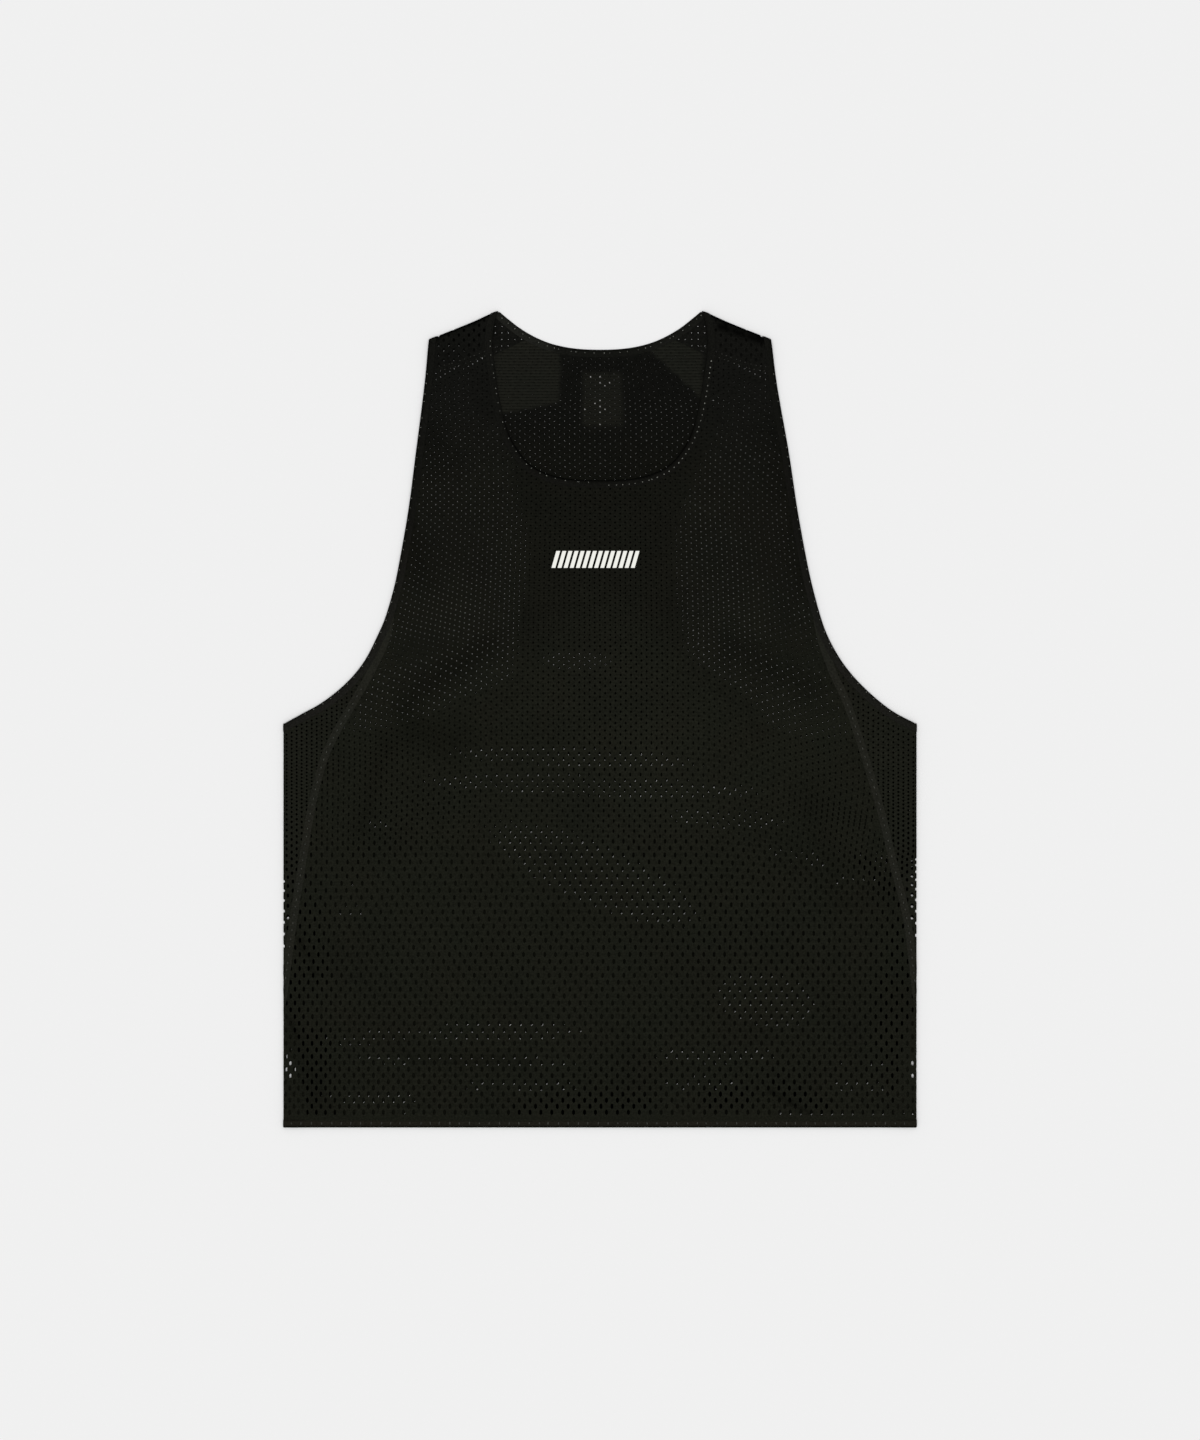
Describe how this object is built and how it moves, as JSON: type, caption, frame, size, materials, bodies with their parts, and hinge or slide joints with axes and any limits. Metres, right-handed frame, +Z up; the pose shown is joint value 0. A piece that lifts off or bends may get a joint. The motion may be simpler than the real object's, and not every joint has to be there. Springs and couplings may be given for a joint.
{
  "type": "running singlet",
  "caption": "Sleeveless running top of engineered mesh, laid flat, with a deep scoop neck, cut-in shoulders, side panels, shoulder yokes and a turned hem.",
  "frame": {"origin": "middle of the laid singlet in plan, on the surface that it lies on", "axes": "+Z up out of the front layer, +Y from the hem to the neck, +X to the right in plan with the neck at the top"},
  "size_m": [0.5194, 0.6692, 0.0042],
  "materials": {
    "body_mesh": "matte black warp-knit mesh with small holes that grow towards the hem",
    "side_mesh": "matte black fine mesh",
    "yoke_mesh": "matte black open mesh",
    "binding": "matte black doubled knit with a row of stitches",
    "hem": "matte black turned knit with a row of stitches"
  },
  "bodies": {
    "root": {"front_panel": "body_mesh", "back_panel": "body_mesh", "side_panel_left": "side_mesh", "side_panel_right": "side_mesh", "shoulder_yoke_left": "yoke_mesh", "shoulder_yoke_right": "yoke_mesh", "neck_band": "binding", "armhole_band_left": "binding", "armhole_band_right": "binding", "hem_band": "hem"}
  },
  "joints": []
}
